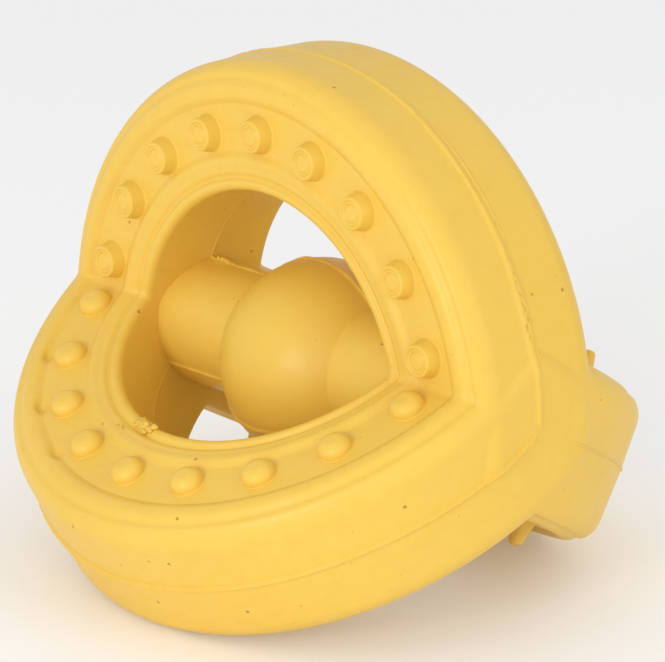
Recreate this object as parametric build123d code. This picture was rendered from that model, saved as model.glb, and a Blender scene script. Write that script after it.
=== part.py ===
from build123d import *
import os

# Rubber chew toy: three identical half-ring arches stand 120 degrees apart round one
# horizontal crossbar, which carries a ball in the middle. X runs along the crossbar,
# Z is up, and the toy rests on the rims of its front and rear arches at Z = 0.

# ---- overall size (mm) ----
outer_r = 55.0            # arch outer wall at its mid-plane
inner_r = 32.4            # arch inner wall at its mid-plane
half_thick = 14.0         # mid-plane to the top of the rim
draft = 0.3               # wall slope from the mid-plane to the rim rounding

# ---- face of an arch, from the outside in ----
rim_round = 5.2           # large outer rounding of the rim
bead_width = 1.4          # inner slope of the rim, down to the groove
groove_depth = 0.8        # rim top to groove floor
groove_out_r = 47.7
groove_in_r = 39.2
band_drop = 0.3           # inner band lies this much below the rim top
band_step = 0.5           # width of the steps beside the inner band
crease_r = 34.9           # fine crease between the band and the inner lip
crease_depth = 0.5
lip_round = 1.4           # rounding of the inner lip

# ---- mould flash on the walls ----
flash_half = 0.5
flash_height = 0.3

# ---- middle ----
hub_flat = 8.1            # axis to the flat where each arch meets the hub
crossbar_r = 11.5
bar_lift = 0.9            # the crossbar lies this much above the rings' own axis
ball_r = 18.1

# ---- nubs, nine on each face of each arch ----
nub_count = 9
nub_circle_r = 43.0
nub_first_angle = 17.2    # first nub above the crossbar axis, in degrees
nub_gap = 0.005           # hairline between a nub's base and the groove floor
stud_base_r, stud_top_r, stud_height = 3.45, 2.75, 2.65
stud_edge = 0.3           # rounded edge of the stud top
stud_ring_r, stud_disc_r, stud_recess = 2.1, 1.2, 0.4
stud_slope = 0.22         # width of the slopes down into the recess of the stud top
dome_r, dome_height, dome_edge = 3.4, 2.1, 0.7
spike_base_r, spike_tip_r, spike_height = 2.1, 1.05, 4.7

# ---- derived ----
rim_center_r = outer_r - draft - rim_round
rim_center_h = half_thick - rim_round
floor_h = half_thick - groove_depth
band_h = half_thick - band_drop
axis_height = rim_center_r * 0.5 + rim_center_h * 3 ** 0.5 / 2 + rim_round
reach = 2 * outer_r
turns = {"top": 0, "front": 120, "rear": 240}


def face_outline():
    """Upper half of the arch section, from inner to outer wall: x radius, y height."""
    lip_x, lip_y = inner_r + draft + lip_round, band_h - lip_round
    face = [
        (lip_x, band_h),
        (crease_r - crease_depth, band_h),
        (crease_r, band_h - crease_depth),
        (crease_r + crease_depth, band_h),
        (groove_in_r - band_step, band_h),
        (groove_in_r, floor_h),
        (groove_out_r, floor_h),
        (groove_out_r + bead_width, half_thick),
        (rim_center_r, half_thick),
    ]
    inner_wall = [
        (inner_r - flash_height, 0),
        (inner_r - flash_height, flash_half / 2),
        (inner_r, flash_half),
        (inner_r + draft, lip_y),
    ]
    outer_wall = [
        (outer_r - draft, rim_center_h),
        (outer_r, flash_half),
        (outer_r + flash_height, flash_half / 2),
        (outer_r + flash_height, 0),
    ]
    lip = CenterArc((lip_x, lip_y), lip_round, 180, -90)
    rim = CenterArc((rim_center_r, rim_center_h), rim_round, 90, -90)
    return [Polyline(*inner_wall), lip, Polyline(*face), rim, Polyline(*outer_wall)]


def arch_section():
    """Whole arch section, mirrored about the mid-plane."""
    upper = face_outline()
    return make_face([*upper, *(mirror(line, about=Plane.XZ) for line in upper)])


def full_ring():
    """Complete ring about Z; the arches and the hub are both cut from it."""
    return revolve(Plane.XZ * arch_section(), Axis.Z, 360)


def place(shape, turn):
    """Stand a shape made about Z upright, then turn it round the crossbar."""
    return Pos(0, 0, axis_height) * Rot(90 + turn, 0, 0) * shape


def arch(ring):
    """Half ring beyond the flat on which it meets the hub."""
    keep = Pos(0, hub_flat + reach / 2, 0) * Box(2 * reach, reach, reach)
    return ring & keep


def open_ring(ring):
    """Ring without the 120 degree sector that lies between the other two arches."""
    far = reach * 2
    wedge = Polyline((0, 0), (-far, far * 3 ** 0.5), (-far, -far * 3 ** 0.5), close=True)
    sector = extrude(make_face(Plane.YZ * wedge), far, both=True)
    return ring - sector


def hub(ring):
    """Left hub: where the three rings run through each other, cut to a three-sided
    prism along the crossbar whose flats carry the arches."""
    y, z = hub_flat * 3 ** 0.5, hub_flat
    profile = make_face(Polyline((0, -2 * z), (y, z), (-y, z), close=True))
    prism = Pos(0, 0, axis_height) * extrude(Plane.YZ * profile, -reach)
    first, *others = [place(open_ring(ring), turn) & prism for turn in turns.values()]
    for other in others:
        first = first + other
    return first


def nub_row(nub, face, turn):
    """Nine nubs on the groove floor; face is +1 or -1 for the two faces of an arch."""
    span = 180 - 2 * nub_first_angle
    flip = Rot(180, 0, 0) if face < 0 else Rot(0, 0, 0)
    nubs = []
    for i in range(nub_count):
        angle = nub_first_angle + span * i / (nub_count - 1)
        at = Rot(0, 0, angle) * Pos(nub_circle_r, 0, face * (floor_h + nub_gap))
        nubs.append(place(at * flip * nub, turn).solid())
    return Compound(children=nubs)


def turned(points):
    """Solid turned about Z from (radius, height) points."""
    return revolve(Plane.XZ * make_face(Polyline(*points, close=True)), Axis.Z, 360)


def stud():
    """Tapered stud; a raised ring and a centre disc stand in its top."""
    low = stud_height - stud_recess
    return turned([
        (0, 0), (stud_base_r, 0), (stud_top_r, stud_height - stud_edge),
        (stud_top_r - stud_edge, stud_height), (stud_ring_r, stud_height),
        (stud_ring_r - stud_slope, low), (stud_disc_r + stud_slope, low),
        (stud_disc_r, stud_height - stud_edge / 2), (0, stud_height - stud_edge / 2),
    ])


def dome():
    """Low smooth dome standing on a short straight side."""
    crown = dome_height - dome_edge
    crown_r = (dome_r ** 2 + crown ** 2) / (2 * crown)
    post = Pos(0, 0, dome_height / 2) * Cylinder(dome_r, dome_height)
    return post & (Pos(0, 0, dome_height - crown_r) * Sphere(crown_r))


def spike():
    """Slender tapered spike with a round tip."""
    tip_h = spike_height - spike_tip_r
    side = Polyline((0, spike_height), (0, 0), (spike_base_r, 0), (spike_tip_r, tip_h))
    outline = make_face([side, CenterArc((0, tip_h), spike_tip_r, 0, 90)])
    return revolve(Plane.XZ * outline, Axis.Z, 360)


def save(shape, name):
    shape.label = name
    export_step(shape, f"parts/{name}.step")


os.makedirs("parts", exist_ok=True)

ring = full_ring()
arches = {name: place(arch(ring), turn) for name, turn in turns.items()}
for name, shape in arches.items():
    save(shape, f"arch_{name}")

hubs = {"left": hub(ring)}
hubs["right"] = mirror(hubs["left"], about=Plane.YZ)
for name, shape in hubs.items():
    save(shape, f"hub_{name}")

ball = Pos(0, 0, axis_height) * Sphere(ball_r)
save(ball, "ball")

# The crossbar fills the space between the ball and the inner walls.
bar_length = 2 * (inner_r + 2 * draft)
bar = Pos(0, 0, axis_height + bar_lift) * Rot(0, 90, 0) * Cylinder(crossbar_r, bar_length)
for other in (ball, *hubs.values(), *arches.values()):
    bar = bar - other
bars = bar.solids().sort_by(Axis.X)
save(bars[0], "crossbar_left")
save(bars[-1], "crossbar_right")

# Each arch has its own kind of nub on both of its faces.
nub_kinds = {"top": ("studs", stud()), "front": ("domes", dome()), "rear": ("spikes", spike())}
faces = {"top": ("rear", "front"), "front": ("upper", "lower"), "rear": ("lower", "upper")}
for name, (kind, nub) in nub_kinds.items():
    for side, label in zip((-1, 1), faces[name]):
        save(nub_row(nub, side, turns[name]), f"{kind}_{name}_{label}")
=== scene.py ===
from collections import namedtuple
import math

import bmesh
import bpy
import numpy as np
from mathutils import Matrix, Vector


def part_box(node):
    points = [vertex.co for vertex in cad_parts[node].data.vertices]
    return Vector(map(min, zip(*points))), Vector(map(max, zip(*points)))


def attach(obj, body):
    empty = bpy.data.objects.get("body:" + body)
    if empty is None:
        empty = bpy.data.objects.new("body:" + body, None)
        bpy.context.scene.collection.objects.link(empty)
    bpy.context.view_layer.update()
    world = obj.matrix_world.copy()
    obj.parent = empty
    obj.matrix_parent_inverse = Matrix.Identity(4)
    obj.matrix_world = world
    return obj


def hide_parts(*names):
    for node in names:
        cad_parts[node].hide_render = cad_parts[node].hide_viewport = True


# Moulded rubber chew toy: three half-ring arches round a crossbar with a ball.
# Shapes are worked out in millimetres from the centre of the ball, and turned into metres
# when a mesh is made. In an arch's own terms, r is the distance from the ball's centre in
# the arch's mid-plane, u the distance from the rings' common axis along the arch, w the
# height above the mid-plane, and theta the angle along the arch from its right end.

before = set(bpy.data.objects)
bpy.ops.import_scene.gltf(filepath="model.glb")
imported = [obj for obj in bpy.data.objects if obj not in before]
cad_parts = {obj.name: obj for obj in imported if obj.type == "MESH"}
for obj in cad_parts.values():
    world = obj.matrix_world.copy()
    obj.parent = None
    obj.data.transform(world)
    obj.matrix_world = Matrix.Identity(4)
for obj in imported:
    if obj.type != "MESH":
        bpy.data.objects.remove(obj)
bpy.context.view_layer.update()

MM = 0.001                            # metres in a millimetre

# ---- driving sizes (mm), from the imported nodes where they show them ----
ball_lo, ball_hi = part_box("ball")
arch_lo, arch_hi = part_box("arch_top")
bar_lo, bar_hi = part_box("crossbar_left")
CENTRE = Vector((
    (arch_lo.x + arch_hi.x) / 2, (arch_lo.y + arch_hi.y) / 2, (ball_lo.z + ball_hi.z) / 2))
OUTER_R, INNER_R = 55.0, 32.4         # arch walls at the mid-plane
TOP_H = (arch_hi.y - arch_lo.y) / 2 / MM      # mid-plane to the top of the rim
BALL_R = (ball_hi.x - ball_lo.x) / 2 / MM
BAR_R = (bar_hi.z - bar_lo.z) / 2 / MM
BAR_LIFT = ((bar_lo.z + bar_hi.z) / 2 - CENTRE.z) / MM
BAR_AXIS = np.array([0.0, 0.0, BAR_LIFT])
ARCH_ANGLES = {"top": 90, "front": 210, "rear": 330}
SPLIT = 16.5                          # u at which an arch piece meets its hub
SEEDS = {"top": 11, "front": 23, "rear": 37}

# ---- face of an arch (mm), from the rim inwards ----
DRAFT = 0.3                           # wall slope from the mid-plane to the rim
RIM_ROUND = 5.2
VALLEY_R, VALLEY_WIDE, VALLEY_DEPTH = 52.1, 0.7, 0.5      # shallow valley round the rim
BEAD_R, BEAD_ROUND = 49.0, 2.0        # raised bead beside the groove
GROOVE_OUT_R, GROOVE_IN_R, GROOVE_ROUND = 47.7, 39.2, 0.25
FLOOR_H = TOP_H - 0.8                 # groove floor
BAND_H = TOP_H - 0.3                  # band between the groove and the inner lip
STEP_FOOT, STEP_HEAD, STEP_ROUND = 0.45, 0.7, 0.9         # step up to the band, beside GROOVE_IN_R
CREST_R, CREST_WIDE, CREST_HEIGHT = 37.9, 0.9, 0.28       # crest of the band
CREASE_R, CREASE_DEPTH, CREASE_ROUND = 34.95, 0.6, 0.3    # crease between the band and the lip
CREASE_OUT, CREASE_OUT_ROUND = 1.0, 1.1                   # reach and rounding of its outer side
CREASE_IN, CREASE_IN_ROUND = 0.6, 0.45                    # and of its inner side
LIP_LEAN, LIP_ROUND = 0.05, 1.35
FACE_FROM = 12.0                      # the valley and crest lie above this height
FLASH_REACH, FLASH_STEP = 1.5, 0.1    # close points for the flash, up to this on the outer wall
INNER_FLASH_REACH = 0.9               # and up to this, at these heights, on the inner one
INNER_FLASH_POINTS = (0.7, 0.5, 0.35, 0.2, 0.0)

# ---- fineness of the section and of its distance field (mm) ----
SECTION_STEP, OUTLINE_STEP, FIELD_STEP = 0.42, 0.25, 0.06
FIELD_R = np.arange(26.0, 62.0, FIELD_STEP)
FIELD_W = np.arange(-FIELD_STEP, 22.0, FIELD_STEP)
FAR = 99.0                            # stands for "nothing there" in a distance field
PROBE = 0.04                          # half the step over which a slope is measured
SETTLE_ROUNDS, SETTLE_STEP = 6, 0.6   # how often and how far a point moves as it settles


# ---------------------------------------------------------------- small helpers
def unit(angle):
    """Unit vector in the YZ plane, angle in degrees from +Y."""
    a = math.radians(angle)
    return np.array([0.0, math.cos(a), math.sin(a)])


def arch_frame(name):
    """An arch's own directions: along the crossbar, along u and along w."""
    angle = ARCH_ANGLES[name]
    return np.array([1.0, 0, 0]), unit(angle), unit(angle + 90)


def smooth_min(a, b, k):
    """Minimum of two distance fields, blended over the width k."""
    h = np.clip(1 - np.abs(a - b) / k, 0, 1)
    return np.minimum(a, b) - h * h * k / 4


def bell(x, width):
    """1 at x = 0, falling smoothly to almost nothing at twice the width."""
    return np.exp(-((x / width) ** 2))


def plateau(x, half):
    """1 round x = 0, falling steeply at a distance of half."""
    return 1 / (1 + (x / half) ** 6)


def ripple(t, seed, finest):
    """Smooth random curve of seven waves, mostly between -1 and 1, along t."""
    rng = np.random.RandomState(seed)
    out = np.zeros_like(t)
    for _ in range(7):
        out += np.sin(t * rng.uniform(0.25, 1.0) * finest + rng.uniform(0, 6.28))
    return out / 3.5


def rounded(corners, step):
    """Points along a line of (r, w, rounding radius) corners, with arcs at the corners."""
    pts = [np.array(corners[0][:2])]
    for before, here, after in zip(corners, corners[1:], corners[2:]):
        a, b, c = (np.array(q[:2]) for q in (before, here, after))
        back, ahead = (a - b) / np.linalg.norm(a - b), (c - b) / np.linalg.norm(c - b)
        half = math.acos(np.clip(back @ ahead, -1, 1)) / 2
        cut = here[2] / math.tan(half)
        inward = (back + ahead) / np.linalg.norm(back + ahead)
        middle = b + inward * here[2] / math.sin(half)
        start, end = b + back * cut - middle, b + ahead * cut - middle
        sweep = math.pi - 2 * half
        n = max(3, int(math.ceil(sweep * here[2] / step)))
        pts += [middle + (start * math.sin((1 - t) * sweep) + end * math.sin(t * sweep))
                / math.sin(sweep) for t in np.linspace(0, 1, n + 1)]
    pts.append(np.array(corners[-1][:2]))
    out = [pts[0]]
    for a, b in zip(pts, pts[1:]):
        n = max(1, int(math.ceil(np.linalg.norm(b - a) / step)))
        out += [a + (b - a) * i / n for i in range(1, n + 1)]
    return np.array(out)


# ---------------------------------------------------------------- section of an arch
def half_section(step):
    """Upper half of the arch section, from the outer wall over the face to the inner wall."""
    outer = [(OUTER_R, w) for w in np.arange(0.0, FLASH_REACH, FLASH_STEP)]
    face = rounded([
        (OUTER_R, FLASH_REACH, 0),
        (OUTER_R - DRAFT, TOP_H, RIM_ROUND),
        (BEAD_R, TOP_H, BEAD_ROUND),
        (GROOVE_OUT_R, FLOOR_H, GROOVE_ROUND),
        (GROOVE_IN_R + STEP_FOOT, FLOOR_H, STEP_ROUND),
        (GROOVE_IN_R - STEP_HEAD, BAND_H, STEP_ROUND),
        (CREASE_R + CREASE_OUT, BAND_H, CREASE_OUT_ROUND),
        (CREASE_R, BAND_H - CREASE_DEPTH, CREASE_ROUND),
        (CREASE_R - CREASE_IN, BAND_H, CREASE_IN_ROUND),
        (INNER_R + DRAFT - LIP_LEAN, BAND_H, LIP_ROUND),
        (INNER_R, INNER_FLASH_REACH, 0),
    ], step)
    inner = [(INNER_R, w) for w in INNER_FLASH_POINTS]
    pts = np.vstack([outer, face, inner])
    r, w = pts[:, 0], pts[:, 1]
    on_face = np.clip(w - FACE_FROM, 0, 1)
    valley = VALLEY_DEPTH * bell(r - VALLEY_R, VALLEY_WIDE)
    crest = CREST_HEIGHT * bell(r - CREST_R, CREST_WIDE)
    return np.column_stack([r, w + on_face * (crest - valley)])


def whole_loop(half):
    """Whole section as a closed loop of (r, w), starting at the outer mid-plane."""
    return np.vstack([half, (half * (1, -1))[::-1][1:-1]])


def section_field():
    """Signed distance to the arch section on a fine grid of r and |w|."""
    a = whole_loop(half_section(OUTLINE_STEP))
    b = np.roll(a, -1, axis=0)
    grid = np.stack(np.meshgrid(FIELD_R, FIELD_W, indexing="ij"), -1).reshape(-1, 2)
    best, inside = np.full(len(grid), 1e9), np.zeros(len(grid), bool)
    for p, q in zip(a, b):
        e, d = q - p, grid - p
        t = np.clip(d @ e / max(e @ e, 1e-12), 0, 1)
        best = np.minimum(best, ((d - t[:, None] * e) ** 2).sum(1))
        crosses = (p[1] > grid[:, 1]) != (q[1] > grid[:, 1])
        if crosses.any():
            x = p[0] + (grid[:, 1] - p[1]) * e[0] / (e[1] if e[1] else 1e-12)
            inside ^= crosses & (grid[:, 0] < x)
    return (np.sqrt(best) * np.where(inside, -1, 1)).reshape(len(FIELD_R), len(FIELD_W))


SECTION = half_section(SECTION_STEP)
FIELD = section_field()


def section_distance(r, w):
    """Signed distance to the arch section, read from the grid."""
    fr = np.clip((r - FIELD_R[0]) / FIELD_STEP, 0, len(FIELD_R) - 1.001)
    fw = np.clip((np.abs(w) - FIELD_W[0]) / FIELD_STEP, 0, len(FIELD_W) - 1.001)
    i, j = fr.astype(int), fw.astype(int)
    a, b = fr - i, fw - j
    low = FIELD[i, j] * (1 - a) + FIELD[i + 1, j] * a
    high = FIELD[i, j + 1] * (1 - a) + FIELD[i + 1, j + 1] * a
    return low * (1 - b) + high * b


def rings_distance(p, k):
    """Distance to the three rings. Each goes on past the axis to its neighbours' mid-planes."""
    fields = []
    for angle in ARCH_ANGLES.values():
        u, w = p @ unit(angle), p @ unit(angle + 90)
        here = u > -0.5 * np.hypot(u, w) - 1e-6
        fields.append(np.where(here, section_distance(np.hypot(p[:, 0], u), w), FAR))
    return smooth_min(smooth_min(fields[0], fields[1], k), fields[2], k)


def gradient(field, p):
    """Unit vectors that point out of the surface of a distance field."""
    g = np.empty_like(p)
    for axis in range(3):
        d = np.zeros(3)
        d[axis] = PROBE
        g[:, axis] = field(p + d) - field(p - d)
    return g / (np.linalg.norm(g, axis=1, keepdims=True) + 1e-9)


def settle(field, p):
    """Moves points onto the zero surface of a distance field."""
    for _ in range(SETTLE_ROUNDS):
        p = p - np.clip(field(p), -SETTLE_STEP, SETTLE_STEP)[:, None] * gradient(field, p)
    return p


# ---------------------------------------------------------------- mould flash and dents
# An arch's parting line on its outer wall: place beside the mid-plane, half width and
# height, and the u at which it begins. SEEN_SIDE is the side that it leans to.
Flash = namedtuple("Flash", "place half height begins")
FLASH = {
    "top": Flash(1.05, 0.42, 0.3, 0.3),
    "front": Flash(0.8, 0.2, 0.55, 0.8),
    "rear": Flash(0.8, 0.14, 0.3, 6.5),
}
SEEN_SIDE = {"top": 1, "front": -1, "rear": 1}
INNER_FLASH = 0.16                    # half width and height on an inner wall
WANDER, UNEVEN, GRAIN, GRAIN_WIDE = 0.12, 0.2, 0.05, 0.8
FRONT_RETURN, RETURN_AT, RETURN_SPAN = 0.8, 100, 35       # the front line nears the mid-plane
TOP_BROAD, BROAD_AT, BROAD_SPAN = 0.3, 22, 10             # the top line is broad, with bubbles
TOP_SECOND, SECOND_AT, SECOND_SPAN = 0.2, 48, 14          # and has a second one beside it

# A dent: its arch, its place, half its length along the arch, its half width and depth.
Dent = namedtuple("Dent", "arch theta r w long wide depth")
PIT_RNG = np.random.RandomState(5)
HOLLOWS = [Dent("front", theta, 48.0, -FLOOR_H, 1.6, 1.0, 0.8) for theta in (112, 130, 147)]
BUBBLES = [
    Dent("top", PIT_RNG.uniform(16, 30), OUTER_R, PIT_RNG.uniform(0.4, 1.2), 0.22, 0.2, 0.35)
    for _ in range(14)]


def outer_flash(theta, w, name):
    """Height of the parting line on an outer wall."""
    line, seed = FLASH[name], SEEDS[name]
    along, toward, degrees = theta * OUTER_R, w * SEEN_SIDE[name], np.degrees(theta)
    centre = line.place + WANDER * ripple(along, seed, 0.2)
    wide = line.half * (1 + UNEVEN * ripple(along, seed + 1, 0.4))
    grain = GRAIN * ripple(along, seed + 3, 3.0)
    second = 0
    if name == "front":
        centre = centre - FRONT_RETURN * bell(degrees - RETURN_AT, RETURN_SPAN)
    if name == "top":
        wide = wide + TOP_BROAD * bell(degrees - BROAD_AT, BROAD_SPAN)
        second = TOP_SECOND * bell(toward + 0.3, 0.14) * bell(degrees - SECOND_AT, SECOND_SPAN)
    ridge = line.height * plateau(toward - centre, wide)
    return ridge + second + grain * bell(toward - centre, GRAIN_WIDE)


def inner_flash(theta, w, seed):
    """Height of the parting line on an inner wall."""
    height = INNER_FLASH + GRAIN * ripple(theta * INNER_R, seed, 1.2)
    return height * plateau(w, INNER_FLASH)


def surface_marks(theta, r, w, name):
    """Everything that lies on the plain section: flash on both walls, and dents."""
    on_outer = np.clip((r - OUTER_R + 0.5) / 0.4, 0, 1)
    on_inner = np.clip((INNER_R + 0.4 - r) / 0.3, 0, 1)
    lift = on_outer * outer_flash(theta, w, name)
    lift = lift + on_inner * inner_flash(theta, w, SEEDS[name] + 50)
    for dent in HOLLOWS + BUBBLES:
        if dent.arch == name:
            along = bell((theta - math.radians(dent.theta)) * dent.r, dent.long)
            lift = lift - dent.depth * along * bell(np.hypot(r - dent.r, w - dent.w), dent.wide)
    return lift


# ---------------------------------------------------------------- mesh making
WELD_DISTANCE = 2e-6                  # metres


def to_world(p):
    """Millimetres from the centre of the ball, to metres in the frame."""
    return p * MM + np.array(CENTRE)


def add_object(name, points, faces):
    """Mesh whose quads shade smooth, and whose end caps, of any other shape, don't."""
    mesh = bpy.data.meshes.new(name)
    mesh.from_pydata(to_world(points).tolist(), [], faces)
    mesh.update()
    mesh.polygons.foreach_set("use_smooth", [len(f) == 4 for f in faces])
    obj = bpy.data.objects.new(name, mesh)
    bpy.context.scene.collection.objects.link(obj)
    weld(obj)
    return obj


def weld(obj):
    """Joins points that coincide, and makes the edges round the end caps sharp."""
    mesh = bmesh.new()
    mesh.from_mesh(obj.data)
    bmesh.ops.remove_doubles(mesh, verts=mesh.verts, dist=WELD_DISTANCE)
    for edge in mesh.edges:
        edge.smooth = len({face.smooth for face in edge.link_faces}) == 1
    mesh.to_mesh(obj.data)
    mesh.free()


def grid_faces(rows, cols, start=0, closed=True, flip=False):
    """Quads of a grid whose rows are loops (closed) or strips."""
    faces = []
    last = cols if closed else cols - 1
    for i in range(rows - 1):
        for j in range(last):
            k = (j + 1) % cols
            q = [start + i * cols + j, start + i * cols + k,
                 start + (i + 1) * cols + k, start + (i + 1) * cols + j]
            faces.append(q[::-1] if flip else q)
    return faces


def fan(loop, centre_index, flip=False):
    """Triangles from a loop of vertex numbers to one centre vertex."""
    tris = [(a, b, centre_index) for a, b in zip(loop, loop[1:] + loop[:1])]
    return [t[::-1] for t in tris] if flip else tris


def tube(name, rows):
    """Closed mesh from loops of points (rows, cols, 3), with a fan at each end."""
    n, m = rows.shape[:2]
    pts = np.vstack([rows.reshape(-1, 3), rows[0].mean(0)[None], rows[-1].mean(0)[None]])
    faces = grid_faces(n, m)
    faces += fan(list(range(m)), n * m, flip=True)
    faces += fan(list(range((n - 1) * m, n * m)), n * m + 1)
    return add_object(name, pts, faces)


def finish_piece(obj, *nodes):
    """Gives a piece its rubber and its body, and hides the CAD nodes that it stands in for, if
    any.
    """
    obj.data.materials.append(RUBBER)
    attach(obj, "root")
    if nodes:
        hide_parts(*nodes)


# ---------------------------------------------------------------- arches
ROW_STEP, BUBBLE_ROW_STEP = 0.6, 0.22         # mm along the outer wall
BUBBLE_SHARE = 0.11                   # the bubbles lie in this first share of the top arch


def loop_normals(loop):
    """Outward normals of a closed loop of (r, w)."""
    t = np.roll(loop, -1, axis=0) - np.roll(loop, 1, axis=0)
    n = np.column_stack([t[:, 1], -t[:, 0]])
    return n / np.linalg.norm(n, axis=1, keepdims=True)


def row_places(name):
    """Places of an arch's rows from 0 to 1, closer together where the flash has bubbles."""
    length = OUTER_R * (math.pi - 2 * math.asin(SPLIT / OUTER_R))
    first = BUBBLE_ROW_STEP if name == "top" else ROW_STEP
    t, places = 0.0, [0.0]
    while t < 1:
        t += (first if t < BUBBLE_SHARE else ROW_STEP) / length
        places.append(min(t, 1.0))
    return places


def arch(name):
    """Half ring between the planes u = SPLIT on both sides."""
    ex, eu, ew = arch_frame(name)
    loop = whole_loop(SECTION)
    normals = loop_normals(loop)
    start = np.arcsin(SPLIT / loop[:, 0])
    rows = []
    for t in row_places(name):
        theta = start + (math.pi - 2 * start) * t
        lift = surface_marks(theta, loop[:, 0], loop[:, 1], name)
        r = loop[:, 0] + normals[:, 0] * lift
        w = loop[:, 1] + normals[:, 1] * lift
        u = r * np.sin(theta)
        rows.append(np.outer(r * np.cos(theta), ex) + np.outer(u, eu) + np.outer(w, ew))
    finish_piece(tube(f"arch_{name}_skin", np.array(rows)), f"arch_{name}")


# ---------------------------------------------------------------- hubs
HUB_ROWS, HUB_ROW_POWER = 64, 1.15
HUB_EDGE, HUB_VALLEY = 0.15, 0.9      # blend widths: outer facets, and the valleys between faces
HUB_FACE_FROM, HUB_FACE_SPAN = 10, 3.5        # heights over which one gives way to the other
HUB_FADE = 0.2                        # share of the rows over which settling fades out
MARKS_RISE = 2.0                      # mm over which flash and dents rise from nothing


def hub_patch(name, side, right):
    """One side of one ring, from the mitre with its neighbour to the plane u = SPLIT."""
    ex, eu, ew = arch_frame(name)
    r, w = SECTION[:, 0], SECTION[:, 1] * side
    places = np.linspace(0, 1, HUB_ROWS) ** HUB_ROW_POWER
    rows = []
    for t in places:
        u = np.abs(w) / math.sqrt(3) * (1 - t) + SPLIT * t
        rows.append(np.outer(np.sqrt(r ** 2 - u ** 2), ex) + np.outer(u, eu) + np.outer(w, ew))
    p = np.array(rows).reshape(-1, 3)
    on_face = np.tile(np.clip((SECTION[:, 1] - HUB_FACE_FROM) / HUB_FACE_SPAN, 0, 1), HUB_ROWS)
    blend = HUB_EDGE + (HUB_VALLEY - HUB_EDGE) * on_face

    def field(q):
        return rings_distance(q, blend)

    held = np.clip((1 - np.repeat(places, len(SECTION))) / HUB_FADE, 0, 1)
    p = p + (settle(field, p) - p) * held[:, None]
    u, w = p @ eu, p @ ew
    theta = np.arctan2(u, p[:, 0])
    marks = surface_marks(theta if right else math.pi - theta, np.tile(r, HUB_ROWS), w, name)
    marks = marks * np.clip((u - FLASH[name].begins) / MARKS_RISE, 0, 1) ** 2
    p = p + gradient(field, p) * marks[:, None]
    return p.reshape(HUB_ROWS, len(SECTION), 3) * (1 if right else -1, 1, 1)


def hub(side_name, right):
    """Where the three rings run through each other, as one closed mesh."""
    pts, faces = [], []
    for name in ARCH_ANGLES:
        ends = []
        for side in (1, -1):
            patch = hub_patch(name, side, right)
            start = sum(len(q) for q in pts)
            n, m = patch.shape[:2]
            pts.append(patch.reshape(-1, 3))
            faces += grid_faces(n, m, start, closed=False, flip=(side < 0) != (not right))
            ends.append([start + (n - 1) * m + j for j in range(m)])
        loop = ends[0] + ends[1][::-1][1:-1]
        start = sum(len(q) for q in pts)
        pts.append(np.vstack(pts)[loop].mean(0)[None])
        faces += fan(loop, start, flip=not right)
    obj = add_object(f"hub_{side_name}_skin", np.vstack(pts), faces)
    finish_piece(obj, f"hub_{side_name}")


# ---------------------------------------------------------------- crossbar and ball
FIN_NEAR = [-3.2, -2.4, -1.7, -1.1, -0.6, 0.0, 0.6, 1.1, 1.7, 2.4, 3.2]   # degrees from a fin
BAR_ROWS, BAR_ANGLE_STEP = 70, 2.5
BAR_FIN, BAR_FIN_HALF, BAR_SEED = 0.3, 1.4, 61            # height in mm, half width in degrees
BALL_ROWS, BALL_ANGLE_STEP = 100, 2.0
BALL_FIN, BALL_FIN_HALF, BALL_SEED = 0.32, 1.3, 71
BALL_POLE = 1.5                       # degrees from the crossbar axis to the ball's first row
BAR_IN_BALL, BAR_IN_WALL = 0.6, 0.5   # how far the crossbar runs on past its ends
WALL_GUESS, WALL_ROUNDS = 29.0, 60    # the x where the search for the wall starts, and its rounds
TEAR, TEAR_X, TEAR_LONG, TEAR_SPAN = 0.4, 27.0, 2.6, 5.0  # torn flash on the crossbar


def fine_angles(step):
    """Angles round the crossbar in degrees, closer together at the three mid-planes."""
    angles = []
    for middle in sorted(ARCH_ANGLES.values()):
        first, last = middle + FIN_NEAR[-1] + step, middle + 120 - FIN_NEAR[-1] - 0.01
        angles += [middle + a for a in FIN_NEAR]
        angles += list(np.arange(first, last, step))
    return np.array(angles)


def fin_height(angle, along, height, half, seed):
    """Mould fins on the crossbar and ball, at the three mid-planes."""
    out = np.zeros_like(angle)
    for i, middle in enumerate(sorted(ARCH_ANGLES.values())):
        off = (angle - middle + 180) % 360 - 180
        ragged = 1 + 0.35 * ripple(along, seed + i, 1.4)
        out += height * ragged * plateau(off, half)
    return out


def tear_height(angle, x):
    """Torn flash on top of the left half of the crossbar, beside the wall."""
    ragged = 1 + ripple(x, 92, 7.0)
    return TEAR * bell(x - TEAR_X, TEAR_LONG) * bell(angle - 90, TEAR_SPAN) * ragged


def wall_distance(angles):
    """Where each line along the crossbar surface meets the inner walls."""
    near = np.array([unit(a) * BAR_R for a in angles]) + BAR_AXIS
    x = np.full(len(angles), WALL_GUESS)
    for _ in range(WALL_ROUNDS):
        p = near.copy()
        p[:, 0] = x
        x = x + np.clip(rings_distance(p, 0.5), -0.5, 0.5)
    return x


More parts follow.
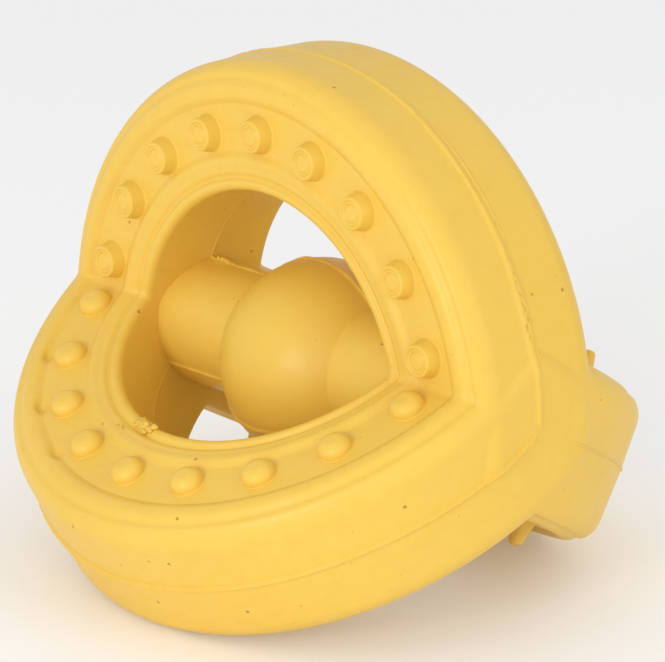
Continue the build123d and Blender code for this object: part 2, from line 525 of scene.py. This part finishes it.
def crossbar(side_name, right):
    """Half of the crossbar, from inside the ball to just inside the inner walls."""
    angles, sign = fine_angles(BAR_ANGLE_STEP), 1 if right else -1
    around = np.array([unit(a) for a in angles])
    start = math.sqrt(BALL_R ** 2 - (BAR_R + BAR_LIFT) ** 2) - BAR_IN_BALL
    end = wall_distance(angles) + BAR_IN_WALL
    rows = []
    for t in np.linspace(0, 1, BAR_ROWS):
        x = start + (end - start) * t
        fin = fin_height(angles, x, BAR_FIN, BAR_FIN_HALF, BAR_SEED + sign)
        if not right:
            fin = fin + tear_height(angles, x)
        rows.append(around * (BAR_R + fin)[:, None] + np.outer(x * sign, (1, 0, 0)) + BAR_AXIS)
    rows = np.array(rows)
    obj = tube(f"crossbar_{side_name}_skin", rows[:, ::-1] if right else rows)
    finish_piece(obj, f"crossbar_{side_name}")


def ball():
    """Ball with a mould fin along each of the three mid-planes."""
    angles = fine_angles(BALL_ANGLE_STEP)
    rows = []
    for lat in np.radians(np.linspace(BALL_POLE, 180 - BALL_POLE, BALL_ROWS)):
        ring_r, x = BALL_R * math.sin(lat), BALL_R * math.cos(lat)
        half = BALL_FIN_HALF / max(math.sin(lat), 0.2)
        fin = fin_height(angles, np.full(len(angles), x), BALL_FIN, half, BALL_SEED)
        grow = 1 + fin / BALL_R
        rows.append([unit(a) * ring_r * g + np.array([x * g, 0, 0]) for a, g in zip(angles, grow)])
    finish_piece(tube("ball_skin", np.array(rows)), "ball")


# ---------------------------------------------------------------- nubs
# Nine nubs on each face of each arch. An outline is a line of (radius, height, rounding
# radius) corners in mm, from just inside the groove floor to the middle of the top.
NUB_CIRCLE_R = 43.0
NUB_FIRST, NUB_COUNT = 17.2, 9        # the first nub's theta is in degrees
NUB_COLS, NUB_STEP = 56, 0.16
NUB_FOOT, NUB_UNDER = -0.02, 0.05     # the edge of a nub and the point under it lie in the floor
NUB_LEAN, NUB_UNEVEN = 0.02, 0.012    # how much one nub differs from the next
STUD = [
    (4.3, NUB_FOOT, 0), (3.4, 0.0, 0.4), (2.76, 2.62, 0.3), (2.36, 2.6, 0.12),
    (2.16, 2.36, 0.06), (1.92, 2.56, 0.1), (1.74, 2.54, 0.08), (1.56, 2.3, 0.06),
    (1.3, 2.5, 0.25), (0.0, 2.56, 0)]
DOME = [(3.6, NUB_FOOT, 0), (2.92, 0.0, 0.2), (2.84, 2.3, 2.0), (0.0, 2.36, 0)]
SPIKE = [(2.8, NUB_FOOT, 0), (1.98, 0.0, 0.45), (0.93, 4.7, 0.75), (0.0, 4.7, 0)]


def nub_row(kind, outline, name, label, side, seed):
    """Nine nubs as one piece, each a little different."""
    ex, eu, ew = arch_frame(name)
    profile = rounded(outline, NUB_STEP)
    turn = np.radians(np.arange(NUB_COLS) * 360 / NUB_COLS)
    rng = np.random.RandomState(seed)
    pts, faces = [], []
    for i in range(NUB_COUNT):
        theta = math.radians(NUB_FIRST + (180 - 2 * NUB_FIRST) * i / (NUB_COUNT - 1))
        out = math.cos(theta) * ex + math.sin(theta) * eu
        across = -math.sin(theta) * ex + math.cos(theta) * eu
        base = NUB_CIRCLE_R * out + ew * side * FLOOR_H
        lean, size = rng.normal(0, NUB_LEAN, 2), 1 + rng.normal(0, NUB_UNEVEN)
        start = sum(len(q) for q in pts)
        rows = []
        for r, h in profile[:-1]:
            bump = 1 + NUB_UNEVEN * ripple(turn, seed + i, 3.0) * (h > 0.1)
            a = r * size * np.cos(turn) * bump + lean[0] * h
            b = r * size * np.sin(turn) * bump + lean[1] * h
            rows.append(base + np.outer(a, out) + np.outer(b, across) + ew * side * h)
        tip = base + ew * side * profile[-1][1]
        under = base - ew * side * NUB_UNDER
        pts.append(np.vstack(rows + [tip[None], under[None]]))
        n, flip = len(rows), side < 0
        foot_loop = [start + j for j in range(NUB_COLS)]
        top_loop = [j + (n - 1) * NUB_COLS for j in foot_loop]
        faces += grid_faces(n, NUB_COLS, start, flip=flip)
        faces += fan(top_loop, start + n * NUB_COLS, flip=flip)
        faces += fan(foot_loop, start + n * NUB_COLS + 1, flip=not flip)
    obj = add_object(f"{kind}_{name}_{label}_skin", np.vstack(pts), faces)
    finish_piece(obj, f"{kind}_{name}_{label}")


# ---------------------------------------------------------------- torn flash
# A patch of crumbs: its place, its spread, the number of crumbs and their size.
Patch = namedtuple("Patch", "theta r spread count size")
TORN = [Patch(99.5, 33.9, 2.8, 60, 0.5), Patch(105.0, 36.6, 1.1, 12, 0.24)]
LIP_FALL_R = 33.4                     # the lip falls away inside this radius
CRUMB_ROWS, CRUMB_COLS = 6, 9


def crumb(middle, size, rng, start):
    """Small uneven lump of rubber: points and faces."""
    pts = []
    for i in range(CRUMB_ROWS):
        lat = math.pi * (i + 0.5) / CRUMB_ROWS
        for j in range(CRUMB_COLS):
            a = 2 * math.pi * j / CRUMB_COLS
            r = size * (1 + rng.uniform(-0.3, 0.3))
            pts.append(middle + r * np.array([
                math.sin(lat) * math.cos(a), math.sin(lat) * math.sin(a), 0.8 * math.cos(lat)]))
    last_row = start + (CRUMB_ROWS - 1) * CRUMB_COLS
    faces = grid_faces(CRUMB_ROWS, CRUMB_COLS, start)
    faces.append(list(range(start, start + CRUMB_COLS))[::-1])
    faces.append(list(range(last_row, last_row + CRUMB_COLS)))
    return pts, faces


def torn_flash():
    """Crumbs of flash left on the inner lip of the front arch's upper face."""
    ex, eu, ew = arch_frame("front")
    rng = np.random.RandomState(3)
    pts, faces = [], []
    for patch in TORN:
        for _ in range(patch.count):
            t = math.radians(patch.theta) + rng.normal(0, 0.45) * patch.spread / patch.r
            at = patch.r + rng.normal(0, 0.28) * min(patch.spread, 1.6)
            low = BAND_H - 0.1 - 0.5 * max(0.0, LIP_FALL_R - at) + rng.uniform(0, 0.35)
            middle = at * math.cos(t) * ex + at * math.sin(t) * eu - ew * low
            new_pts, new_faces = crumb(middle, patch.size * rng.uniform(0.6, 1.3), rng, len(pts))
            pts += new_pts
            faces += new_faces
    finish_piece(add_object("torn_flash", np.array(pts), faces))


# ---------------------------------------------------------------- rubber
DEEP_YELLOW, LIGHT_YELLOW = (0.80, 0.520, 0.076), (0.83, 0.548, 0.088)
MOTTLE = (0.77, 0.485, 0.068)
# The first colour here is painted shade inside the pinholes, whose pits are only a bump; the
# second is a fleck in the rubber.
PINHOLE_SHADE, FINE_SPECK = (0.52, 0.29, 0.05), (0.60, 0.36, 0.06)


class Texture:
    """Makes the texture nodes of one material, laid out in metres of the frame."""

    def __init__(self, tree):
        self.nodes, self.links = tree.nodes, tree.links
        self.place = tree.nodes.new("ShaderNodeTexCoord").outputs["Object"]

    def noise(self, scale, detail, rough=0.5):
        """Cloudy noise, about 0.5 on average."""
        n = self.nodes.new("ShaderNodeTexNoise")
        n.inputs["Scale"].default_value = scale
        n.inputs["Detail"].default_value = detail
        n.inputs["Roughness"].default_value = rough
        self.links.new(self.place, n.inputs["Vector"])
        return n.outputs["Fac"]

    def span(self, value, low, high, to_low=0.0, to_high=1.0):
        """Maps the range from low to high onto another one."""
        n = self.nodes.new("ShaderNodeMapRange")
        n.inputs["From Min"].default_value = low
        n.inputs["From Max"].default_value = high
        n.inputs["To Min"].default_value = to_low
        n.inputs["To Max"].default_value = to_high
        self.links.new(value, n.inputs["Value"])
        return n.outputs["Result"]

    def specks(self, scale, inner, outer):
        """Small round spots at random places: 1 inside, and 0 outside."""
        n = self.nodes.new("ShaderNodeTexVoronoi")
        n.inputs["Scale"].default_value = scale
        self.links.new(self.place, n.inputs["Vector"])
        return self.span(n.outputs["Distance"], inner, outer, 1.0, 0.0)

    def tint(self, under, colour, amount):
        """Mixes a colour into what is under it, which is a colour or a node's output."""
        n = self.nodes.new("ShaderNodeMix")
        n.data_type = "RGBA"
        if isinstance(under, tuple):
            n.inputs["A"].default_value = (*under, 1)
        else:
            self.links.new(under, n.inputs["A"])
        n.inputs["B"].default_value = (*colour, 1)
        self.links.new(amount, n.inputs["Factor"])
        return n.outputs["Result"]

    def bump(self, height, strength, distance):
        """Bump node; distance is in metres."""
        n = self.nodes.new("ShaderNodeBump")
        n.inputs["Strength"].default_value = strength
        n.inputs["Distance"].default_value = distance
        self.links.new(height, n.inputs["Height"])
        return n


def rubber():
    """Satin yellow rubber: clouds of colour, mottle, specks, pinholes with painted shade in them,
    and a fine grain.
    """
    mat = bpy.data.materials.new("yellow_rubber")
    mat.use_nodes = True
    texture = Texture(mat.node_tree)
    # Spots where the pinholes are: a pit by bump, and painted shade in the colour.
    pinhole_pits_and_shade = texture.specks(150, 0.025, 0.05)
    clouds = texture.span(texture.noise(28, 4), 0.35, 0.65)
    mottle = texture.span(texture.noise(420, 3), 0.45, 0.75, 0.0, 0.35)
    colour = texture.tint(DEEP_YELLOW, LIGHT_YELLOW, clouds)
    colour = texture.tint(colour, MOTTLE, mottle)
    # Painted shade: darkens the pinholes as if shade fell into them.
    colour = texture.tint(colour, PINHOLE_SHADE, pinhole_pits_and_shade)
    colour = texture.tint(colour, FINE_SPECK, texture.specks(260, 0.02, 0.05))
    rough = texture.span(texture.noise(300, 3), 0.3, 0.7, 0.36, 0.46)
    grain = texture.bump(texture.noise(900, 4, 0.6), 0.35, 0.0001)
    pits = texture.bump(pinhole_pits_and_shade, 0.8, 0.0003)
    pits.invert = True
    texture.links.new(grain.outputs["Normal"], pits.inputs["Normal"])
    shader = mat.node_tree.nodes["Principled BSDF"]
    shader.inputs["Specular IOR Level"].default_value = 0.35
    texture.links.new(colour, shader.inputs["Base Color"])
    texture.links.new(rough, shader.inputs["Roughness"])
    texture.links.new(pits.outputs["Normal"], shader.inputs["Normal"])
    return mat


RUBBER = rubber()

# ---------------------------------------------------------------- floor, lights, camera
FLOOR_HALF = 3.0                      # metres
FLOOR_WHITE, FLOOR_GLOW = 0.87, 0.13
SKY = 0.78                            # strength of the even light from all sides
CAMERA_FROM_CENTRE = (0.4966, -0.4327, 0.2089)
CAMERA_FORWARD, CAMERA_RIGHT = (-0.7187, 0.6295, -0.2952), (0.6626, 0.7488, -0.0167)
CAMERA_LENS, CAMERA_SENSOR = 214.9, 36.0      # mm


def floor_paint():
    """Matt off-white that glows a little, to keep the background pale."""
    mat = bpy.data.materials.new("pale_floor")
    mat.use_nodes = True
    shader = mat.node_tree.nodes["Principled BSDF"]
    shader.inputs["Base Color"].default_value = (FLOOR_WHITE, FLOOR_WHITE, FLOOR_WHITE, 1)
    shader.inputs["Roughness"].default_value = 0.9
    shader.inputs["Specular IOR Level"].default_value = 0.1
    shader.inputs["Emission Color"].default_value = (1, 1, 1, 1)
    shader.inputs["Emission Strength"].default_value = FLOOR_GLOW
    return mat


def floor():
    """Plain square floor that the toy stands on."""
    mesh = bpy.data.meshes.new("floor")
    s = FLOOR_HALF
    mesh.from_pydata([(-s, -s, 0), (s, -s, 0), (s, s, 0), (-s, s, 0)], [], [(0, 1, 2, 3)])
    obj = bpy.data.objects.new("floor", mesh)
    bpy.context.scene.collection.objects.link(obj)
    mesh.materials.append(floor_paint())


def light(name, place, size, power):
    """Square lamp aimed at the ball: place and size in metres, power in watts."""
    data = bpy.data.lights.new(name, "AREA")
    data.shape, data.size, data.energy = "SQUARE", size, power
    obj = bpy.data.objects.new(name, data)
    obj.location = place
    obj.rotation_mode = "QUATERNION"
    obj.rotation_quaternion = (CENTRE - Vector(place)).to_track_quat("-Z", "Y")
    bpy.context.scene.collection.objects.link(obj)


def camera():
    """Long lens that looks at the toy from the front right and a little above."""
    forward = Vector(CAMERA_FORWARD).normalized()
    right = Vector(CAMERA_RIGHT)
    right = (right - forward * right.dot(forward)).normalized()
    up = right.cross(forward)
    x, y, z = CAMERA_FROM_CENTRE
    data = bpy.data.cameras.new("camera")
    data.sensor_width, data.lens = CAMERA_SENSOR, CAMERA_LENS
    obj = bpy.data.objects.new("camera", data)
    turn = Matrix((right, up, -forward)).transposed().to_4x4()
    obj.matrix_world = Matrix.Translation((x, y, z + CENTRE.z)) @ turn
    bpy.context.scene.collection.objects.link(obj)
    bpy.context.scene.camera = obj


def surroundings():
    """Even white light from all sides, and colours shown as they are."""
    world = bpy.data.worlds.new("studio")
    world.use_nodes = True
    background = world.node_tree.nodes["Background"]
    background.inputs["Color"].default_value = (1, 1, 1, 1)
    background.inputs["Strength"].default_value = SKY
    scene = bpy.context.scene
    scene.world = world
    scene.view_settings.view_transform = "Standard"
    scene.view_settings.look = "None"


# ---------------------------------------------------------------- build
for arch_name in ARCH_ANGLES:
    arch(arch_name)
hub("right", True)
hub("left", False)
crossbar("right", True)
crossbar("left", False)
ball()
for kind, outline, arch_name, plus, minus in (
    ("studs", STUD, "top", "front", "rear"),
    ("domes", DOME, "front", "lower", "upper"),
    ("spikes", SPIKE, "rear", "upper", "lower"),
):
    nub_row(kind, outline, arch_name, plus, 1, SEEDS[arch_name] + 5)
    nub_row(kind, outline, arch_name, minus, -1, SEEDS[arch_name] + 6)
torn_flash()

floor()
light("key", (0.235, -0.98, 0.30), size=0.3, power=3.0)
light("side", (1.05, 0.10, 0.40), size=0.5, power=1.5)
light("near", (0.75, -0.65, 0.36), size=0.5, power=0.9)
camera()
surroundings()
